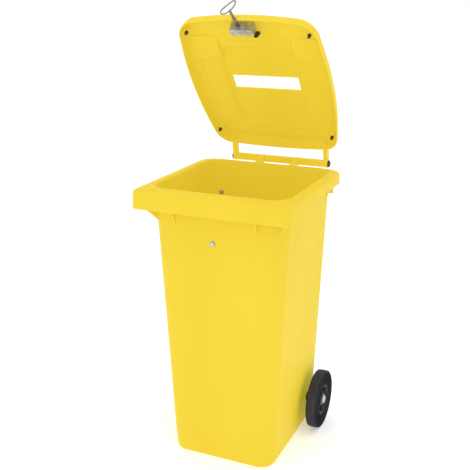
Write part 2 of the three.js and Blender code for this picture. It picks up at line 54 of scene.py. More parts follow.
camera = bpy.data.objects.new("camera", bpy.data.cameras.new("camera"))
bpy.context.scene.collection.objects.link(camera)
bpy.context.scene.camera = camera
camera.location = (0.9076, -2.1615, 1.3984)
camera.rotation_euler = (math.radians(72.4), 0, math.radians(23.91))
camera.data.sensor_width = 36
camera.data.lens = 61.3
camera.data.shift_x = 0.0055
camera.data.shift_y = 0.006


# ------------------------------------------------------------------ studio
# A white floor that glows a little, a white sky all round for an almost shadowless light, and two
# weak broad lamps, in front on the left and overhead, that give the plastic its soft highlights.

def new_finish(name):
    """An empty material: the material, its node tree and its principled shader."""
    finish = bpy.data.materials.new(name)
    finish.use_nodes = True
    tree = finish.node_tree
    return finish, tree, tree.nodes["Principled BSDF"]


def noise(tree, scale, detail=2.0, stretch=(1, 1, 1)):
    """A noise pattern fixed to the piece; scale is in features to the metre."""
    place = tree.nodes.new("ShaderNodeTexCoord")
    shape = tree.nodes.new("ShaderNodeMapping")
    shape.inputs["Scale"].default_value = stretch
    pattern = tree.nodes.new("ShaderNodeTexNoise")
    pattern.inputs["Scale"].default_value = scale
    pattern.inputs["Detail"].default_value = detail
    tree.links.new(place.outputs["Object"], shape.inputs["Vector"])
    tree.links.new(shape.outputs["Vector"], pattern.inputs["Vector"])
    return pattern.outputs["Fac"]


def ramp(tree, source, low, high, start=0.3, end=0.7):
    """Turns a 0 to 1 pattern into a blend between two colours."""
    blend = tree.nodes.new("ShaderNodeValToRGB")
    blend.color_ramp.elements[0].position = start
    blend.color_ramp.elements[1].position = end
    blend.color_ramp.elements[0].color = (*low, 1)
    blend.color_ramp.elements[1].color = (*high, 1)
    tree.links.new(source, blend.inputs["Fac"])
    return blend.outputs["Color"]


def spread(tree, source, low, high):
    """Turns a 0 to 1 pattern into a number between low and high."""
    limits = tree.nodes.new("ShaderNodeMapRange")
    limits.inputs["From Min"].default_value = 0.3
    limits.inputs["From Max"].default_value = 0.7
    limits.inputs["To Min"].default_value = low
    limits.inputs["To Max"].default_value = high
    tree.links.new(source, limits.inputs["Value"])
    return limits.outputs["Result"]


floor_finish, tree, shader = new_finish("white_floor")
tree.links.new(ramp(tree, noise(tree, 1.5), (0.9, 0.9, 0.9), (0.92, 0.92, 0.92)), shader.inputs["Base Color"])
shader.inputs["Roughness"].default_value = 0.9
shader.inputs["Specular IOR Level"].default_value = 0.1
shader.inputs["Emission Color"].default_value = (1, 1, 1, 1)
shader.inputs["Emission Strength"].default_value = 0.3

FLOOR_REACH = 40
floor_mesh = bpy.data.meshes.new("floor")
corners = [(x * FLOOR_REACH, y * FLOOR_REACH, 0) for x, y in ((-1, -1), (1, -1), (1, 1), (-1, 1))]
floor_mesh.from_pydata(corners, [], [(0, 1, 2, 3)])
floor_mesh.materials.append(floor_finish)
floor = bpy.data.objects.new("floor", floor_mesh)
bpy.context.scene.collection.objects.link(floor)

sky = bpy.data.worlds.new("white_sky")
sky.use_nodes = True
sky.node_tree.nodes["Background"].inputs["Color"].default_value = (1, 1, 1, 1)
sky.node_tree.nodes["Background"].inputs["Strength"].default_value = 1.0
bpy.context.scene.world = sky
bpy.context.scene.view_settings.view_transform = "Standard"


def soft_lamp(name, place, width, height, power):
    """A rectangular lamp that faces the middle of the bin."""
    lamp = bpy.data.lights.new(name, "AREA")
    lamp.shape = "RECTANGLE"
    lamp.size = width
    lamp.size_y = height
    lamp.energy = power
    holder = bpy.data.objects.new(name, lamp)
    bpy.context.scene.collection.objects.link(holder)
    holder.location = place
    middle = Vector((0, 0, 0.7))
    holder.rotation_euler = (middle - Vector(place)).to_track_quat("-Z", "Y").to_euler()


soft_lamp("front_lamp", (-1.4, -3.6, 2.6), 1.6, 1.6, 8)
soft_lamp("top_lamp", (0.3, -0.9, 3.6), 2.0, 2.0, 12)


# ------------------------------------------------------------------ tub
# One injection moulding in bright yellow polyethylene, with an even wall of 4 mm. The deep rim that a
# lorry's comb lifts, the gussets under it, the handle bar on its two webs and the foot recess for the
# axle are all of the same moulding. Everything is drawn in millimetres.

MM = 0.001
joints = {joint["name"]: joint for joint in frame["joints"]}
tub_low, tub_high = (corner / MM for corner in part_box("tub"))
hinge = Vector(joints["lid_hinge"]["pos_m"]) / MM
wheel_centre = Vector(joints["wheel_spin_right"]["pos_m"]) / MM

WALL = 4
FLOOR = 7  # top of the tub's floor
BASE_HALF = 165
BASE_FRONT = -210
BASE_STEP = 38  # the foot is drawn in a little below this height
MOUTH_HALF = 206
MOUTH_FRONT = -236.6
TUB_REAR = 191.5
COLLAR_BOTTOM = 795  # lower edge of the rim
CEILING = 836.5  # of the channel under the rim, where the lorry's comb goes
LEDGE = 847  # outer edge of the rim's top
PLATFORM = 850  # raised top round the mouth
GROOVE = 846.5  # floor of the groove along the front
RECESS_FRONT = 80  # the axle's recess, from here back
RECESS_TOP = 124
AXLE_RADIUS = 10
BAR_RADIUS = 12
BAR_HALF = 151.2
WEB_X = 58
RIB_HALF = 2.5


@dataclass
class Outline:
    """A rounded four-sided outline seen from above. The bows swell its edges outwards."""
    half_front: float
    half_rear: float
    front: float
    rear: float
    front_radius: float
    rear_radius: float
    front_bow: float = 0
    side_bow: float = 0
    rear_bow: float = 0


def ring(outline, height, inset=0.0):
    """Points counter-clockwise round an outline, drawn smaller all round by the inset. The height is
    a number, or a function of the distance from front to back."""
    arc_steps, edge_steps = 10, 8
    level = height if callable(height) else lambda y: height
    front_radius = max(outline.front_radius - inset, 0.6)
    rear_radius = max(outline.rear_radius - inset, 0.6)
    half_front, half_rear = outline.half_front - inset, outline.half_rear - inset
    front, rear = outline.front + inset, outline.rear - inset
    points = []

    def arc(x, y, radius, start):
        for i in range(arc_steps + 1):
            turn = math.radians(start + 90 * i / arc_steps)
            points.append((x + radius * math.cos(turn), y + radius * math.sin(turn)))

    def edge(x0, y0, x1, y1, bow_x, bow_y):
        for i in range(1, edge_steps):
            t = i / edge_steps
            swell = 4 * t * (1 - t)
            points.append((x0 + (x1 - x0) * t + bow_x * swell, y0 + (y1 - y0) * t + bow_y * swell))

    low, high = front + front_radius, rear - rear_radius
    arc(half_front - front_radius, low, front_radius, -90)
    edge(half_front, low, half_rear, high, outline.side_bow, 0)
    arc(half_rear - rear_radius, high, rear_radius, 0)
    edge(half_rear - rear_radius, rear, rear_radius - half_rear, rear, 0, outline.rear_bow)
    arc(rear_radius - half_rear, high, rear_radius, 90)
    edge(-half_rear, high, -half_front, low, -outline.side_bow, 0)
    arc(front_radius - half_front, low, front_radius, 180)
    edge(front_radius - half_front, front, half_front - front_radius, front, 0, -outline.front_bow)
    return [Vector((x, y, level(y))) for x, y in points]


def rounded(before, here, after, radius, t):
    """A point on the round that softens the corner at `here`, at t from 0 to 1."""
    to_before, to_after = before - here, after - here
    start = here + to_before * min(radius / max(to_before.length, 1e-6), 0.48)
    end = here + to_after * min(radius / max(to_after.length, 1e-6), 0.48)
    return start * (1 - t) ** 2 + here * 2 * t * (1 - t) + end * t ** 2


def skin(levels, steps=4):
    """Rings through levels of (outline, height, inset, radius), the corner at each level made round."""
    plain = [ring(outline, height, inset) for outline, height, inset, radius in levels]
    rings = [plain[0]]
    for i in range(1, len(levels) - 1):
        radius = levels[i][3]
        if radius == 0:
            rings.append(plain[i])
            continue
        for step in range(steps):
            t = step / (steps - 1)
            corners = zip(plain[i - 1], plain[i], plain[i + 1])
            rings.append([rounded(*corner, radius, t) for corner in corners])
    return rings + [plain[-1]]


def loft(rings):
    """A closed skin through rings with the same number of points."""
    made = bmesh.new()
    rows = [[made.verts.new(point) for point in points] for points in rings]
    count = len(rows[0])
    for lower, upper in zip(rows, rows[1:]):
        for i in range(count):
            j = (i + 1) % count
            made.faces.new((lower[i], lower[j], upper[j], upper[i]))
    made.faces.new(reversed(rows[0]))
    made.faces.new(rows[-1])
    bmesh.ops.recalc_face_normals(made, faces=made.faces)
    return made


def break_edges(made, width, segments=2):
    """Rounds every corner of more than 30 degrees, as a mould or a tool leaves it."""
    sharp = [edge for edge in made.edges if edge.is_manifold and edge.calc_face_angle(0) > math.radians(30)]
    bmesh.ops.bevel(made, geom=sharp, offset=width, segments=segments, profile=0.5, affect="EDGES")
    return made


def plate(points, x0, x1, edge=0.8):
    """A side view of (y, z) points, carried across from x0 to x1."""
    made = loft([[Vector((x, y, z)) for y, z in points] for x in (x0, x1)])
    return break_edges(made, edge) if edge else made


def turned(profile, start, direction, steps=48, edge=0.0):
    """A closed profile of (along, radius) points turned about an axis."""
    made = bmesh.new()
    onto_axis = Vector((1, 0, 0)).rotation_difference(Vector(direction)).to_matrix()
    rows = []
    for i in range(steps):
        turn = 2 * math.pi * i / steps
        across = Vector((0, math.cos(turn), math.sin(turn)))
        row = [onto_axis @ (Vector((along, 0, 0)) + across * radius) for along, radius in profile]
        rows.append([made.verts.new(Vector(start) + point) for point in row])
    for i, row in enumerate(rows):
        after = rows[(i + 1) % steps]
        for j in range(len(profile)):
            k = (j + 1) % len(profile)
            made.faces.new((row[j], row[k], after[k], after[j]))
    bmesh.ops.remove_doubles(made, verts=made.verts, dist=1e-4)
    bmesh.ops.recalc_face_normals(made, faces=made.faces)
    return break_edges(made, edge) if edge else made


def rod(radius, start, end, steps=32, end_radius=None, edge=0.0):
    """A solid round bar from one point to another."""
    along = Vector(end) - Vector(start)
    tip = radius if end_radius is None else end_radius
    return turned([(0, 0), (0, radius), (along.length, tip), (along.length, 0)], start, along, steps, edge)


def loose(made):
    """The drawing as a hidden object, for a modifier to work on."""
    mesh = bpy.data.meshes.new("drawing")
    made.to_mesh(mesh)
    made.free()
    holder = bpy.data.objects.new("drawing", mesh)
    bpy.context.scene.collection.objects.link(holder)
    return holder


def carved(made, operation, *tools):
    """The drawing joined with ("UNION") or cut by ("DIFFERENCE") the tools."""
    holders = [loose(made)]
    for tool in tools:
        holders.append(loose(tool))
        cutter = holders[0].modifiers.new("cutter", "BOOLEAN")
        cutter.operation = operation
        cutter.solver = "MANIFOLD"
        cutter.object = holders[-1]
    seen = holders[0].evaluated_get(bpy.context.evaluated_depsgraph_get())
    result = bmesh.new()
    result.from_mesh(seen.to_mesh())
    seen.to_mesh_clear()
    for holder in holders:
        mesh = holder.data
        bpy.data.objects.remove(holder)
        bpy.data.meshes.remove(mesh)
    bmesh.ops.remove_doubles(result, verts=result.verts, dist=1e-4)
    return result


def piece(name, made, finish, body, slot, *nodes):
    """Sets a finished drawing in the scene, smooth except at its corners, in place of its CAD nodes."""
    mesh = bpy.data.meshes.new(name)
    bmesh.ops.scale(made, vec=(MM, MM, MM), verts=made.verts)
    made.to_mesh(mesh)
    made.free()
    mesh.materials.append(finish)
    mesh.shade_smooth()
    mesh.set_sharp_from_angle(angle=math.radians(32))
    made_piece = bpy.data.objects.new(name, mesh)
    bpy.context.scene.collection.objects.link(made_piece)
    normals = made_piece.modifiers.new("even_normals", "WEIGHTED_NORMAL")
    normals.keep_sharp = True
    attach(made_piece, body)
    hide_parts(*nodes)
    return made_piece


def tub_outline(height):
    """The tapered body's outline at a height."""
    t = height / COLLAR_BOTTOM
    half = BASE_HALF + (MOUTH_HALF - BASE_HALF) * t
    front = BASE_FRONT + (MOUTH_FRONT - BASE_FRONT) * t
    return Outline(half, half, front, TUB_REAR, 48 + 10 * t, 24 + 24 * t)


collar = Outline(tub_high.x, tub_high.x, tub_low.y, 200, 24, 50)


def collar_edge(y):
    """Height of the rim's lower edge: low at the front, raised in a soft S behind the front corners."""
    t = min(max((y + 205) / 120, 0), 1)
    return COLLAR_BOTTOM + 20 * t * t * (3 - 2 * t)


def tub_shell():
    """Underside, outer wall, comb rim, mouth and inner wall in one closed skin."""
    band = 4
    return loft(skin([
        (tub_outline(0), 0, 40, 0),
        (tub_outline(0), 0, 3.5, 2.5),
        (tub_outline(5), 5, 1.5, 2),
        (tub_outline(BASE_STEP - 2), BASE_STEP - 2, 1.5, 1.2),
        (tub_outline(BASE_STEP + 2), BASE_STEP + 2, 0, 1.2),
        (tub_outline(300), 300, 0, 0),
        (tub_outline(560), 560, 0, 0),
        (tub_outline(CEILING), CEILING, 0, 3),
        (collar, CEILING, band, 2),
        (collar, collar_edge, band - 0.4, 1),
        (collar, collar_edge, 0.3, 1.2),
        (collar, LEDGE - 4, 2, 2),
        (collar, LEDGE, 5.2, 1.5),
        (collar, LEDGE, 12, 1),
        (collar, PLATFORM, 13, 1),
        (tub_outline(PLATFORM), PLATFORM, 0.5, 2.4),
        (tub_outline(PLATFORM - 7), PLATFORM - 7, WALL, 2.4),
        (tub_outline(560), 560, WALL, 0),
        (tub_outline(300), 300, WALL, 0),
        (tub_outline(FLOOR), FLOOR, WALL + 2, 12),
        (tub_outline(FLOOR), FLOOR, 60, 0),
    ]))


def tub_gussets():
    """Thin triangular ribs that stiffen the rim, and the plates that close its rear ends."""
    top = CEILING + 1
    root = MOUTH_FRONT + 1
    front_rib = [(root, 747), (root, top), (-287, top), (-287, 797), (-263, 795)]
    ribs = [plate(front_rib, x - RIB_HALF, x + RIB_HALF) for x in (-126, 126)]
    reach = collar.half_front - MOUTH_HALF
    side_rib = [(0, 770), (0, top), (reach, top), (reach, 819), (reach - 8, 812)]
    corner_rib = [(0, 742), (0, top), (62, top), (62, 797), (36, 776)]
    end_root = MOUTH_HALF - 14
    end = [(end_root, 777), (end_root, top), (229, top), (226, 808), (216, 796), (214, 777)]
    for side in (-1, 1):
        for y in (-186, 130):
            rib = plate(side_rib, -RIB_HALF, RIB_HALF)
            place = Matrix.Translation((side * (MOUTH_HALF - 3), y, 0))
            turn = Matrix.Rotation(math.radians(-90 * side), 4, "Z")
            bmesh.ops.transform(rib, matrix=place @ turn, verts=rib.verts)
            ribs.append(rib)
        rib = plate(corner_rib, -RIB_HALF, RIB_HALF)
        place = Matrix.Translation((side * 183, -214, 0))
        turn = Matrix.Rotation(math.radians(180 + 45 * side), 4, "Z")
        bmesh.ops.transform(rib, matrix=place @ turn, verts=rib.verts)
        ribs.append(rib)
        faces = [[Vector((side * x, y, z)) for x, z in end] for y in (172, 176)]
        ribs.append(break_edges(loft(faces), 0.8))
    return ribs


def tub_handle():
    """The round bar that is pulled by hand and carries the lid, on its two webs."""
    ends = (-BAR_HALF, BAR_HALF)
    bar = rod(BAR_RADIUS, *((x, hinge.y, hinge.z) for x in ends), steps=48, edge=0.8)
    web = [
        (TUB_REAR - 1, 770),
        (hinge.y + 3, hinge.z - BAR_RADIUS + 1),
        (hinge.y + 3, hinge.z + BAR_RADIUS - 1),
        (TUB_REAR - 1, LEDGE - 1),
    ]
    parts = [bar]
    for x in (-WEB_X, WEB_X):
        parts.append(plate(web, x - 3, x + 3))
        collar_ends = ((x + step, hinge.y, hinge.z) for step in (-3, 3))
        parts.append(rod(BAR_RADIUS + 1.5, *collar_ends, 48, edge=0.8))
    return parts


def tub_foot():
    """What the foot adds inside: the raised floor over the axle recess. And what is cut from below."""
    raised = [
        ring(Outline(half, half, RECESS_FRONT - WALL, TUB_REAR - 2, 2, 22), height)
        for half, height in ((163.5, 3), (169.5, RECESS_TOP + WALL))
    ]
    skirt = 157
    recess = loft([
        ring(Outline(skirt, skirt, RECESS_FRONT, TUB_REAR + 20, 3, 3), height) for height in (-1, RECESS_TOP)
    ])
    radius = wheel_centre.z - 3
    heel = [(wheel_centre.y, -1), (TUB_REAR + 20, -1), (TUB_REAR + 20, wheel_centre.z)]
    for i in range(13):
        turn = math.radians(-7.5 * i)
        heel.append((wheel_centre.y + radius * math.cos(turn), wheel_centre.z + radius * math.sin(turn)))
    return loft(raised), [recess, plate(heel, -190, 190, edge=0)]


def middle(node):
    """The middle of a CAD node's box, in millimetres."""
    low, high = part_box(node)
    return (low + high) / 2 / MM


def tub_cuts():
    """The groove along the rim's front, the bar's blind bores, and the holes for axle and bolts."""
    groove = Outline(184, 184, -277, -239, 4, 4)
    cuts = [loft(skin([
        (groove, GROOVE, 9, 0),
        (groove, GROOVE, 4, 1.5),
        (groove, PLATFORM - 0.5, 0, 0.5),
        (groove, PLATFORM + 0.5, -1, 0),
    ]))]
    for side in (-1, 1):
        cuts.append(rod(7, (side * 108, hinge.y, hinge.z), (side * (BAR_HALF + 1), hinge.y, hinge.z)))
    reach = 200
    axle_hole = ((x, wheel_centre.y, wheel_centre.z) for x in (-reach, reach))
    cuts.append(rod(AXLE_RADIUS + 0.4, *axle_hole))
    for bolt in ("front", "rear"):
        washer, nut = middle(bolt + "_washer"), middle(bolt + "_nut")
        along = (nut - washer).normalized()
        cuts.append(rod(4.6, washer - along * 20, nut + along * 5))
    return cuts


def yellow_polyethylene():
    """Half-gloss moulded plastic: hardly mottled, with a fine grain, faint flow streaks, and edges and hollow
    corners painted paler, partly as rubbed wear and partly as a painted highlight.
    Its wall is thin enough to let light through. On top of that it is given a faint glow, painted light that
    lifts it even where it is shaded."""
    finish, tree, shader = new_finish("yellow_polyethylene")
    body = ramp(tree, noise(tree, 5, 3, (1, 1, 0.35)), (0.52, 0.35, 0.022), (0.56, 0.38, 0.03))
    # Paler colour at every edge and hollow corner: rubbed wear in part, and in part a painted highlight.
    softened = tree.nodes.new("ShaderNodeBevel")
    softened.samples = 4
    softened.inputs["Radius"].default_value = 0.0025
    off_edge = tree.nodes.new("ShaderNodeVectorMath")
    off_edge.operation = "DOT_PRODUCT"
    tree.links.new(softened.outputs["Normal"], off_edge.inputs[0])
    tree.links.new(tree.nodes.new("ShaderNodeNewGeometry").outputs["Normal"], off_edge.inputs[1])
    # This mask pales the edges both as wear and as a painted highlight.
    rubbed = ramp(tree, off_edge.outputs["Value"], (1, 1, 1), (0, 0, 0), 0.8, 0.98)
    edge_wear_and_highlight = tree.nodes.new("ShaderNodeMix")
    edge_wear_and_highlight.data_type = "RGBA"
    edge_wear_and_highlight.inputs["B"].default_value = (0.64, 0.5, 0.09, 1)
    tree.links.new(rubbed, edge_wear_and_highlight.inputs["Factor"])
    tree.links.new(body, edge_wear_and_highlight.inputs["A"])
    tree.links.new(edge_wear_and_highlight.outputs["Result"], shader.inputs["Base Color"])
    tree.links.new(spread(tree, noise(tree, 40, 4), 0.46, 0.56), shader.inputs["Roughness"])
    grain = tree.nodes.new("ShaderNodeBump")
    grain.inputs["Strength"].default_value = 0.12
    grain.inputs["Distance"].default_value = 0.0003
    tree.links.new(noise(tree, 900, 3), grain.inputs["Height"])
    tree.links.new(grain.outputs["Normal"], shader.inputs["Normal"])
    shader.inputs["IOR"].default_value = 1.5
    shader.inputs["Specular IOR Level"].default_value = 0.08
    # Painted light: the emission makes the plastic glow a little, lifting its shaded sides and hollows.
    shader.inputs["Emission Color"].default_value = (1, 0.88, 0.055, 1)
    shader.inputs["Emission Strength"].default_value = 0.3
    shader.inputs["Subsurface Weight"].default_value = 0.06
    shader.inputs["Subsurface Radius"].default_value = (0.012, 0.007, 0.001)
    return finish


yellow = yellow_polyethylene()
raised_floor, foot_cuts = tub_foot()
tub = carved(tub_shell(), "UNION", raised_floor, *tub_gussets(), *tub_handle())
tub = carved(tub, "DIFFERENCE", *foot_cuts)
bearing_plates = [
    plate([(82, 72), (138, 72), (138, RECESS_TOP + 2), (82, RECESS_TOP + 2)], x - 4, x + 4)
    for x in (-140, -60, 60, 140)
]
tub = carved(tub, "UNION", *bearing_plates)
tub = carved(tub, "DIFFERENCE", *tub_cuts())
piece("bin_tub", tub, yellow, "tub", "bin_plastic", "tub")


# ------------------------------------------------------------------ bolts, washers and nuts
# Zinc-plated steel: a domed bolt with a washer and a nut holds the striker to the front wall, and
# another closes a hole in the rear wall.

def zinc_plate():
    """Bright plated steel: silvery with a faint blue cast, brushed fine and slightly clouded."""
    finish, tree, shader = new_finish("zinc_plate")
    clouds = noise(tree, 60, 4)
    tree.links.new(ramp(tree, clouds, (0.34, 0.35, 0.42), (0.6, 0.62, 0.71)), shader.inputs["Base Color"])
    tree.links.new(spread(tree, noise(tree, 300, 4, (1, 1, 6)), 0.22, 0.38), shader.inputs["Roughness"])
    shader.inputs["Metallic"].default_value = 0.75
    scratches = tree.nodes.new("ShaderNodeBump")
    scratches.inputs["Strength"].default_value = 0.1
    scratches.inputs["Distance"].default_value = 0.0002
    tree.links.new(noise(tree, 500, 2, (8, 1, 1)), scratches.inputs["Height"])
    tree.links.new(scratches.outputs["Normal"], shader.inputs["Normal"])
    return finish


def bolted(name, wall_to_washer):
    """One bolt with its washer and nut. It runs straight through the wall from its head to its nut; the
    distance is from under the head to the washer."""
    washer_middle = middle(name + "_washer")
    along = (middle(name + "_nut") - washer_middle).normalized()
    washer_at = washer_middle - along * 0.75
    dome = [(4.5 * (1 - math.cos(math.radians(a))), 8 * math.sin(math.radians(a))) for a in range(0, 91, 10)]
    length = wall_to_washer + 16.5
    shank = [(4.5, 4), (length - 0.8, 4), (length, 3.2), (length, 0)]
    bolt = turned(dome + shank, washer_at - along * (wall_to_washer + 4.5), along, 40)
    piece(name + "_bolt_turned", bolt, zinc, "tub", "zinc_plate", name + "_bolt")

    washer = turned([(0, 4.3), (0, 9), (1.5, 9), (1.5, 4.3)], washer_at, along, 40, 0.3)
    piece(name + "_washer_pressed", washer, zinc, "tub", "zinc_plate", name + "_washer")

    hexagon = [(0, 0), (0, 6.8), (0.6, 7.5), (5.6, 7.5), (6.2, 6.8), (6.2, 0)]
    nut_at = washer_at + along * 1.8
    thread = rod(4.2, nut_at - along, nut_at + along * 8)
    nut = carved(turned(hexagon, nut_at, along, 6), "DIFFERENCE", thread)
    piece(name + "_nut_hexagonal", nut, zinc, "tub", "zinc_plate", name + "_nut")


zinc = zinc_plate()
bolted("front", 8.6)
bolted("rear", 5.4)


# ------------------------------------------------------------------ striker
# A strap of zinc-plated steel inside the front wall. Its top is folded into a tab for the lock's cam.

striker = frame["nodes"]["striker"]
for surface in striker.material_slots:
    surface.material = zinc


# ------------------------------------------------------------------ axle, spacers, bushes and caps
# A plain steel bar through the foot, a black plastic spacer and bush on each side, and a bright
# pressed cap driven on to each end.

def black_moulding():
    """Black polypropylene with a fine spark grain, a little dusty."""
    finish, tree, shader = new_finish("black_moulding")
    dust = noise(tree, 25, 5)
    tree.links.new(ramp(tree, dust, (0.010, 0.010, 0.013), (0.03, 0.031, 0.037)), shader.inputs["Base Color"])
    tree.links.new(spread(tree, dust, 0.38, 0.55), shader.inputs["Roughness"])
    grain = tree.nodes.new("ShaderNodeBump")
    grain.inputs["Strength"].default_value = 0.15
    grain.inputs["Distance"].default_value = 0.0003
    tree.links.new(noise(tree, 1400, 2), grain.inputs["Height"])
    tree.links.new(grain.outputs["Normal"], shader.inputs["Normal"])
    return finish


black = black_moulding()
axle_low, axle_high = (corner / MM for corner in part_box("axle"))
axle_ends = [(x, wheel_centre.y, wheel_centre.z) for x in (axle_low.x, axle_high.x)]
piece("axle_bar", rod(AXLE_RADIUS, *axle_ends, steps=40, edge=0.8), zinc, "tub", "zinc_plate", "axle")


def on_axle(name, profile, finish, body, slot, node, steps=48, edge=0.4):
    """A turned piece on the axle. The profile's first numbers are distances from the node's inner end,
    counted outwards from the bin."""
    low, high = (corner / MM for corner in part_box(node))
    side = 1 if low.x > 0 else -1
    inner = low.x if side > 0 else high.x
    made = turned(profile, (inner, wheel_centre.y, wheel_centre.z), (side, 0, 0), steps, edge)
    return piece(name, made, finish, body, slot, node)


spacer_length = 25.4
cap = [(0, 10.3), (0, 14), (3.8, 14), (4.4, 13), (6.6, 10), (7.6, 6), (7.6, 0), (3.2, 0), (3.2, 10.3)]
for label in ("right", "left"):
    on_axle(f"axle_spacer_{label}_turned", [(0, 10.3), (0, 15), (spacer_length, 15), (spacer_length, 10.3)],
            black, "tub", "black_plastic", f"axle_spacer_{label}")
    on_axle(f"hub_bush_{label}_moulded", [(0, 10.2), (0, 14.2), (27, 14.2), (27, 10.2)],
            black, f"wheel_{label}", "black_plastic", f"hub_bush_{label}")
    on_axle(f"hub_cap_{label}_pressed", cap, zinc, "tub", "zinc_plate", f"hub_cap_{label}", edge=0.3)


# ------------------------------------------------------------------ wheels
# Black moulded wheels: a deep hub recess, a thin web with six spokes, and a barrel for the bush.
# Each is made in the same tool, so both have their recess outwards.

def wheel_moulding(side):
    """Rim, web, spokes and barrel. x runs outwards from the middle of the wheel."""
    half = 16
    rim = 46.6
    barrel = 14.5
    centre = (side * wheel_centre.x, wheel_centre.y, wheel_centre.z)
    section = [
        (1 - half, barrel), (1 - half, 20), (-4, 21), (-4, rim - 6), (2 - half, rim - 4), (2 - half, rim),
        (half - 2, rim), (half - 2, rim - 3), (half - 4, rim - 4.5), (-1, rim - 6.5), (-1, 22),
        (half - 4.6, 20), (half - 4.6, barrel),
    ]
    made = turned(section, centre, (side, 0, 0), 96)
    spokes = []
    for i in range(6):
        across = [
            [Vector((x, y, z)) for y, z in ((-w, 18), (w, 18), (w * 0.8, rim - 4), (-w * 0.8, rim - 4))]
            for x, w in ((-half + 5, 2.6), (half - 6, 1.8))
        ]
        spoke = break_edges(loft(across), 0.6)
        turn = Matrix.Rotation(math.radians(60 * i), 4, "X")
        place = Matrix.Translation(centre) @ Matrix.Scale(side, 4, (1, 0, 0)) @ turn
        bmesh.ops.transform(spoke, matrix=place, verts=spoke.verts)
        bmesh.ops.recalc_face_normals(spoke, faces=spoke.faces)
        spokes.append(spoke)
    return carved(made, "UNION", *spokes)


for side, label in ((1, "right"), (-1, "left")):
    wheel = wheel_moulding(side)
    piece(f"wheel_{label}_moulded", wheel, black, f"wheel_{label}", "black_plastic", f"wheel_{label}")


# ------------------------------------------------------------------ tyres
# Solid blue-black rubber, stretched over the rims: a low crown with a parting line in the middle,
# chamfered shoulders, and side faces with fine radial ribs.

def tyre_rubber():
    """Matt rubber with a bluish bloom on its side faces, scuffed grey where the tread rolls."""
    finish, tree, shader = new_finish("tyre_rubber")
    facing = tree.nodes.new("ShaderNodeSeparateXYZ")
    sideways = tree.nodes.new("ShaderNodeMath")
    sideways.operation = "ABSOLUTE"
    tree.links.new(tree.nodes.new("ShaderNodeTexCoord").outputs["Normal"], facing.inputs["Vector"])
    tree.links.new(facing.outputs["X"], sideways.inputs[0])
    scuffed = ramp(tree, sideways.outputs["Value"], (0.055, 0.055, 0.07), (0.003, 0.005, 0.013), 0.5, 0.9)
    bloom = noise(tree, 30, 6)
    clouded = tree.nodes.new("ShaderNodeMix")
    clouded.data_type = "RGBA"
    clouded.blend_type = "MULTIPLY"
    clouded.inputs["Factor"].default_value = 1
    tree.links.new(scuffed, clouded.inputs["A"])
    tree.links.new(ramp(tree, bloom, (0.6, 0.6, 0.6), (1, 1, 1)), clouded.inputs["B"])
    tree.links.new(clouded.outputs["Result"], shader.inputs["Base Color"])
    tree.links.new(spread(tree, bloom, 0.6, 0.8), shader.inputs["Roughness"])
    shader.inputs["Specular IOR Level"].default_value = 0.07
    grain = tree.nodes.new("ShaderNodeBump")
    grain.inputs["Strength"].default_value = 0.3
    grain.inputs["Distance"].default_value = 0.0005
    tree.links.new(noise(tree, 700, 4), grain.inputs["Height"])
    tree.links.new(grain.outputs["Normal"], shader.inputs["Normal"])
    shader.inputs["Sheen Weight"].default_value = 0.02
    shader.inputs["Sheen Roughness"].default_value = 0.4
    return finish


def tyre(side):
    """The tyre's ring. Its radial ribs are raised on the side faces between two plain bands. The half
    section's points are (radius, distance from the middle, 1 where the ribs are)."""
    drawn_radius, half, bore = 95, 16, 47
    ribs, rib_height, steps = 60, 0.7, 240
    centre = Vector((side * wheel_centre.x, wheel_centre.y, wheel_centre.z))
    half_section = [
        (bore, 13.8, 0), (bore + 0.8, 15.2, 0), (bore + 2.5, 15.8, 0), (bore + 4, 14.9, 0),
        (bore + 6, 14.5, 0), (bore + 8, 14.2, 1), (84, 14.7, 1), (86, 15.2, 0), (90, half, 0),
        (91.6, 15.8, 0), (93.4, 14.4, 0), (94.1, 12.6, 0), (94.5, 6, 0), (94.6, 1.0, 0),
        (drawn_radius, 0.6, 0),
    ]
    section = half_section + [(r, -x, rib) for r, x, rib in reversed(half_section)]
    made = bmesh.new()
    rows = []
    for i in range(steps):
        turn = 2 * math.pi * i / steps
        raised = rib_height if i % (steps // ribs) < 2 else 0
        row = []
        for r, x, rib in section:
            out = x + math.copysign(raised * rib, x)
            row.append(made.verts.new(centre + Vector((out, r * math.cos(turn), r * math.sin(turn)))))
        rows.append(row)
    for i, row in enumerate(rows):
        after = rows[(i + 1) % steps]
        for j in range(len(section)):
            k = (j + 1) % len(section)
            made.faces.new((row[j], row[k], after[k], after[j]))
    bmesh.ops.recalc_face_normals(made, faces=made.faces)
    scale = wheel_centre.z / drawn_radius
    bmesh.ops.scale(made, vec=(1, scale, scale), space=Matrix.Translation(-centre), verts=made.verts)
    return made


rubber = tyre_rubber()
for side, label in ((1, "right"), (-1, "left")):
    piece(f"tyre_{label}_moulded", tyre(side), rubber, f"wheel_{label}", "tyre_rubber", f"tyre_{label}")


# ------------------------------------------------------------------ hinge pins
# Black plastic pins with a flat round head, pushed through the lid's arms into the ends of the bar.

for side, label in ((1, "right"), (-1, "left")):
    low, high = (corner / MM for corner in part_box(f"hinge_pin_{label}"))
    inner = low.x if side > 0 else high.x
    length = high.x - low.x
    head = length - 5.5
    profile = [
        (0, 0), (0, 5.2), (1.5, 6.6), (head, 6.6), (head, 11), (head + 3, 11), (length - 1, 10),
        (length, 8.5), (length, 4), (length - 1.2, 3.4), (length - 1.2, 0),
    ]
    pin = turned(profile, (inner, hinge.y, hinge.z), (side, 0, 0), 40, 0.3)
    piece(f"hinge_pin_{label}_moulded", pin, black, "tub", "black_plastic", f"hinge_pin_{label}")


# ------------------------------------------------------------------ lid
# A second moulding of the same yellow plastic, 3.5 mm thick: a bowed dish with a turned-down skirt, a
# step and a raised panel with the paper slot, and two swan-neck arms that hang it on the bar. It is
# drawn closed and turned open about the bar.

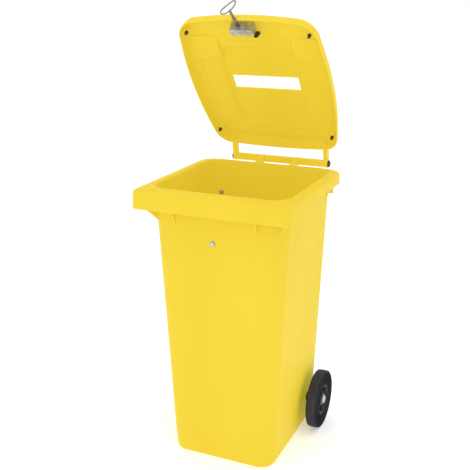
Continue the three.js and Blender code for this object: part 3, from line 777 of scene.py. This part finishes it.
LID_OPEN = 53.25  # degrees from closed
LID_WALL = 3.5
RIM = 852  # lower edge of the skirt
ARM_IN, ARM_OUT = 152, 164
BUFFER_NAMES = ("front_left", "front_right", "rear_left", "rear_right")
LID_EDGE = Outline(214, 209, -282, 218, 68, 55, 10, 15, 6)
LID_STEP = Outline(190, 183, -213, 182, 46, 46, 5, 8, 4)
LID_PANEL = Outline(121, 119, -154, 152, 34, 40, 1, 2, 1)
open_lid = (
    Matrix.Translation(hinge)
    @ Matrix.Rotation(math.radians(-LID_OPEN), 4, "X")
    @ Matrix.Translation(-hinge)
)


def opened(made):
    """Turns a drawing of the closed lid, or of a piece on it, to where it is with the lid up."""
    bmesh.ops.transform(made, matrix=open_lid, verts=made.verts)
    return made


def lid_shell():
    """Inside and outside of the dish in one closed skin. The panel leans up towards the front."""
    def level(height, lean):
        return lambda y: height - lean * y

    t = LID_WALL
    return loft(skin([
        (LID_PANEL, level(902 - t, 0.01), 40, 0),
        (LID_PANEL, level(902 - t, 0.01), t, 5),
        (LID_PANEL, level(892 - t, 0.02), t - 8, 5),
        (LID_STEP, 890 - t, 5 + t, 2),
        (LID_STEP, 886 - t, t, 2),
        (LID_EDGE, 885.5 - t, 15 + t, 4),
        (LID_EDGE, 883 - t, 7 + t, 4),
        (LID_EDGE, 877 - t, 2.5 + t, 4),
        (LID_EDGE, 866 - t, 1 + t, 4),
        (LID_EDGE, RIM, t, 1),
        (LID_EDGE, RIM, 0, 1),
        (LID_EDGE, 866, 1, 4),
        (LID_EDGE, 877, 2.5, 4),
        (LID_EDGE, 883, 7, 4),
        (LID_EDGE, 885.5, 15, 4),
        (LID_STEP, 886, 0, 2),
        (LID_STEP, 890, 5, 2),
        (LID_PANEL, level(892, 0.02), -8, 5),
        (LID_PANEL, level(902, 0.01), 0, 5),
        (LID_PANEL, level(902, 0.01), 40, 0),
    ]))


def lid_arm(x0, x1):
    """One swan-neck arm with the eye that turns on the hinge pin."""
    arm = [(200, 861), (200, 880), (222, 880.5), (240, 878), (262, 868), (284, 857), (268, 836), (246, 846),
           (222, 859)]
    eye = rod(13, (x0, hinge.y, hinge.z), (x1, hinge.y, hinge.z), 48, edge=1)
    return [plate(arm, x0, x1, edge=1.5), eye]


def corner_pad(side):
    """A stiffening pad under each front corner: steep in front, and fading into the roof sideways."""
    def placed(outline, height, across):
        return [Vector((side * (point.x + across), point.y, point.z)) for point in ring(outline, height)]

    root = Outline(46, 46, -208, -115, 14, 20)
    face = Outline(28, 28, -206, -116, 10, 18)
    pad = loft([placed(root, 888, 160), placed(root, 885, 160), placed(face, lambda y: 887 + 0.05 * y, 174)])
    return break_edges(pad, 2.5, 3)


buffer_places = []
for name in BUFFER_NAMES:
    centre = open_lid.inverted() @ middle("lid_buffer_" + name)
    buffer_places.append((centre.x, centre.y))
LOCK_X = middle("lock_case").x
KEY_X = joints["key_turn"]["pos_m"][0] / MM
RIVET_PLACES = [(LOCK_X - 25, -246), (LOCK_X + 25, -246)]

lid = lid_shell()
added = [corner_pad(-1), corner_pad(1), *lid_arm(ARM_IN, ARM_OUT), *lid_arm(-ARM_OUT, -ARM_IN)]
added += [rod(9, (x, y, 884), (x, y, 862), 32, 7, edge=0.8) for x, y in buffer_places]
added += [rod(6, (x, y, 884), (x, y, 876), 32, edge=0.5) for x, y in RIVET_PLACES]
lid = carved(lid, "UNION", *added)
slot = Outline(107, 107, -41, 10, 1.5, 1.5)
removed = [
    loft([ring(slot, height) for height in (880, 920)]),
    rod(7, (-200, hinge.y, hinge.z), (200, hinge.y, hinge.z), 48),
    plate([(-310, 845), (-276, 845), (-276, 867), (-310, 867)], KEY_X - 8, KEY_X + 8, edge=0),
]
removed += [rod(2.9, (x, y, 860), (x, y, 874), 24) for x, y in buffer_places]
removed += [rod(2.9, (x, y, 870), (x, y, 890), 24) for x, y in RIVET_PLACES]
lid = carved(lid, "DIFFERENCE", *removed)
piece("bin_lid", opened(lid), yellow, "lid", "bin_plastic", "lid")


# ------------------------------------------------------------------ lid buffers
# Four small rubber studs pushed into the bosses, which keep the lid from rattling on the rim.

def buffer_rubber():
    """Plain black rubber with a dull bloom."""
    finish, tree, shader = new_finish("buffer_rubber")
    bloom = noise(tree, 120, 4)
    tree.links.new(ramp(tree, bloom, (0.02, 0.015, 0.01), (0.05, 0.04, 0.03)), shader.inputs["Base Color"])
    tree.links.new(spread(tree, bloom, 0.6, 0.8), shader.inputs["Roughness"])
    return finish


stud_rubber = buffer_rubber()
for name, (x, y) in zip(BUFFER_NAMES, buffer_places):
    profile = [(0, 0), (0, 3.5), (1, 4.5), (10.9, 5.5), (10.9, 2.5), (21.2, 2.5), (21.2, 0)]
    stud = turned(profile, (x, y, 850.8), (0, 0, 1), 32, 0.3)
    node = "lid_buffer_" + name
    piece(node + "_moulded", opened(stud), stud_rubber, "lid", "buffer_rubber", node)


# ------------------------------------------------------------------ lock
# A lock of pressed and zinc-plated steel, riveted up against the lid: a case open at the back, its
# back plate, and a spindle that carries a hooked cam of dark steel and its nut.

turn_joint = joints["key_turn"]
spindle_start = open_lid.inverted() @ (Vector(turn_joint["pos_m"]) / MM)
inwards = (open_lid.inverted().to_3x3() @ Vector(turn_joint["axis"])).normalized()
upwards = inwards.cross(Vector((1, 0, 0))) * -1
CASE_HALF = 35
CASE_REAR = -235.5
CASE_TOP = 875.6


def along_spindle(profile, steps=40, edge=0.0):
    """A piece turned about the spindle; distances count inwards from the case's face."""
    return turned(profile, spindle_start, inwards, steps, edge)


def lock_case():
    """The case is folded from 1.5 mm sheet, with small bend radii."""
    outer = plate([(-266, CASE_TOP), (-258, 844.5), (CASE_REAR, 852.5), (CASE_REAR, CASE_TOP)],
                  LOCK_X - CASE_HALF, LOCK_X + CASE_HALF, edge=0)
    front_edges = [edge for edge in outer.edges if not all(abs(v.co.y - CASE_REAR) < 0.1 for v in edge.verts)]
    bmesh.ops.bevel(outer, geom=front_edges, offset=1.6, segments=3, profile=0.5, affect="EDGES")
    sheet = 1.5
    inner = plate([(-264.1, CASE_TOP - sheet), (-256.9, 846.5), (CASE_REAR + 1, 854.6),
                   (CASE_REAR + 1, CASE_TOP - sheet)],
                  LOCK_X - CASE_HALF + sheet, LOCK_X + CASE_HALF - sheet, edge=0)
    hole = along_spindle([(-3, 0), (-3, 5.4), (6, 5.4), (6, 0)])
    rivet_holes = [rod(2.9, (x, y, 870), (x, y, 880), 24) for x, y in RIVET_PLACES]
    return carved(outer, "DIFFERENCE", inner, hole, *rivet_holes)


def dark_steel():
    """Oiled steel, brown-black, brighter where the hook rubs."""
    finish, tree, shader = new_finish("dark_steel")
    film = noise(tree, 90, 5)
    tree.links.new(ramp(tree, film, (0.05, 0.035, 0.03), (0.16, 0.13, 0.12)), shader.inputs["Base Color"])
    tree.links.new(spread(tree, film, 0.3, 0.5), shader.inputs["Roughness"])
    shader.inputs["Metallic"].default_value = 0.9
    return finish


piece("lock_case_pressed", opened(lock_case()), zinc, "lid", "zinc_plate", "lock_case")

back_front, back_rear = CASE_REAR + 0.3, CASE_REAR + 1.8
back = plate([(back_front, 852.8), (back_rear, 852.8), (back_rear, 875.3), (back_front, 875.3)],
             LOCK_X - CASE_HALF, LOCK_X + CASE_HALF, edge=0.3)
back = carved(back, "DIFFERENCE", along_spindle([(20, 0), (20, 5.4), (40, 5.4), (40, 0)]))
piece("lock_back_plate_pressed", opened(back), zinc, "lid", "zinc_plate", "lock_back_plate")

for label, (x, y) in zip(("left", "right"), RIVET_PLACES):
    tail = [(0, 0), (0, 3.6), (0.5, 4.2), (2.3, 4.2), (2.3, 2.5)]
    head = [(14.8, 2.5), (14.8, 5.5), (15.4, 5.4), (16.2, 4.4), (16.8, 2.4), (16.8, 0)]
    rivet = turned(tail + head, (x, y, 871.4), (0, 0, 1), 32)
    piece(f"lock_rivet_{label}_headed", opened(rivet), zinc, "lid", "zinc_plate", f"lock_rivet_{label}")

steel = dark_steel()
pin = along_spindle([(-11, 0), (-11, 3.6), (-10.4, 4.2), (1, 4.2), (1, 0)], 3)
spindle = along_spindle([
    (-0.6, 0), (-0.6, 4.6), (-0.2, 5), (32, 5), (32, 3.8), (40.4, 3.8), (41, 3.2), (41, 0),
])
spindle = carved(spindle, "UNION", pin)
piece("lock_spindle_turned", opened(spindle), steel, "lock_spindle", "dark_steel", "lock_spindle")


def lock_cam():
    """The cam is a hooked plate; unlocked it lies sideways, and a quarter turn brings its foot down."""
    boss = [(-5, -7), (-7, -5), (-7, 4), (-4.5, 6.5)]
    arm = [(56, 6.5), (60, 0), (54, -14), (45, -14), (38, -7)]
    outline = boss + arm

    def face(distance):
        return [spindle_start + inwards * distance + Vector((x, 0, 0)) + upwards * z for x, z in outline]

    cam = break_edges(loft([face(32.4), face(35.4)]), 0.4)
    return carved(cam, "DIFFERENCE", along_spindle([(30, 0), (30, 4.1), (37, 4.1), (37, 0)]))


piece("lock_cam_cut", opened(lock_cam()), steel, "lock_spindle", "dark_steel", "lock_cam")
cam_nut = carved(along_spindle([(35.8, 0), (35.8, 6.6), (40.2, 6.6), (40.2, 0)], 6, 0.4), "DIFFERENCE",
                 along_spindle([(34, 0), (34, 4.1), (42, 4.1), (42, 0)]))
piece("lock_cam_nut_hexagonal", opened(cam_nut), zinc, "lock_spindle", "zinc_plate", "lock_cam_nut")


# ------------------------------------------------------------------ key
# A steel tube with a three-cornered socket, nickel-plated, and a loop of wire brazed across its end.

WIRE = 2.1  # radius
KEY_REACH = 66  # from the lock's face to the loop
BOW_TURN = 51  # degrees


def nickel_plate():
    """Dull nickel, yellowed a little, with the plating rubbed where fingers hold it."""
    finish, tree, shader = new_finish("nickel_plate")
    rubbed = noise(tree, 80, 5)
    tree.links.new(ramp(tree, rubbed, (0.2, 0.19, 0.185), (0.36, 0.35, 0.34)), shader.inputs["Base Color"])
    tree.links.new(spread(tree, rubbed, 0.18, 0.36), shader.inputs["Roughness"])
    shader.inputs["Metallic"].default_value = 1.0
    return finish


def bow_path(steps=12):
    """The loop's centre line: an elongated D whose round side sits on the tube."""
    corners = [
        (-24, -21), (-27, -13), (-16, -2.5), (0, 0), (16, -2.5), (27, -13), (24, -21), (14, -24), (-14, -24),
    ]
    points = []
    for i, here in enumerate(corners):
        before, after = corners[i - 1], corners[(i + 1) % len(corners)]
        start = [(a + b) / 2 for a, b in zip(before, here)]
        end = [(a + b) / 2 for a, b in zip(here, after)]
        for step in range(steps):
            t = step / steps
            bend = ((1 - t) ** 2, 2 * t * (1 - t), t ** 2)
            points.append([s * bend[0] + h * bend[1] + e * bend[2] for s, h, e in zip(start, here, end)])
    return points


def key_bow():
    """The wire, swept round the loop. It is turned about the tube, half way between level and upright."""
    turn = math.radians(BOW_TURN)
    across = Vector((1, 0, 0)) * math.cos(turn) + upwards * math.sin(turn)
    normal = across.cross(inwards)
    path = [spindle_start + inwards * (y - KEY_REACH) + across * x for x, y in bow_path()]
    sides = 12
    made = bmesh.new()
    rows = []
    for i, here in enumerate(path):
        along = (path[(i + 1) % len(path)] - path[i - 1]).normalized()
        side = along.cross(normal)
        row = []
        for j in range(sides):
            angle = 2 * math.pi * j / sides
            row.append(made.verts.new(here + (side * math.cos(angle) + normal * math.sin(angle)) * WIRE))
        rows.append(row)
    for i, row in enumerate(rows):
        after = rows[(i + 1) % len(rows)]
        for j in range(sides):
            k = (j + 1) % sides
            made.faces.new((row[j], row[k], after[k], after[j]))
    bmesh.ops.recalc_face_normals(made, faces=made.faces)
    return made


stem = along_spindle([
    (-1, 0), (-1, 5.7), (-1.5, 6.2), (-22, 6.2), (-24, 5.8), (-27, 4.6), (-30, 4.2), (-KEY_REACH - 1, 4.2),
    (-KEY_REACH - 1.6, 3.4), (-KEY_REACH - 1.6, 0),
])
key = carved(stem, "UNION", key_bow())
key = carved(key, "DIFFERENCE", along_spindle([(-14, 0), (-14, 4.7), (0, 4.7), (0, 0)]))
piece("key_brazed", opened(key), nickel_plate(), "key", "nickel_plate", "key")
